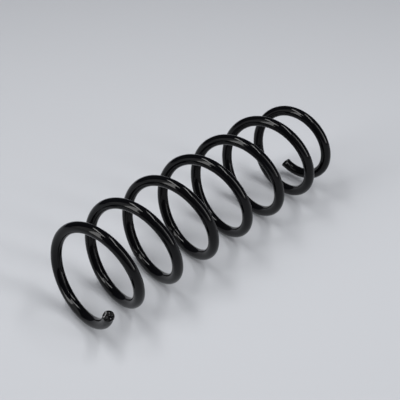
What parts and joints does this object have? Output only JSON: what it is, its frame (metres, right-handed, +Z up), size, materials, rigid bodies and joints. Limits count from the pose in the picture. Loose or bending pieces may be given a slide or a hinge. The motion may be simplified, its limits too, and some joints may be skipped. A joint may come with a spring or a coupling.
{
  "type": "coil spring",
  "caption": "Helical compression spring of round steel bar with a black glossy coat, open-wound, narrower at one end, for a vehicle's suspension; it lies on its side.",
  "frame": {"origin": "on the surface that the spring lies on, under the middle of its box", "axes": "+X along the coil's axis from the wide end to the narrow end, which is the longest way; +Z up, away from the surface that it lies on"},
  "size_m": [0.377, 0.1162, 0.1161],
  "materials": {
    "powder_coated_steel": "glossy black powder coat, slightly uneven"
  },
  "bodies": {
    "root": {"coil_spring": "powder_coated_steel"}
  },
  "joints": []
}
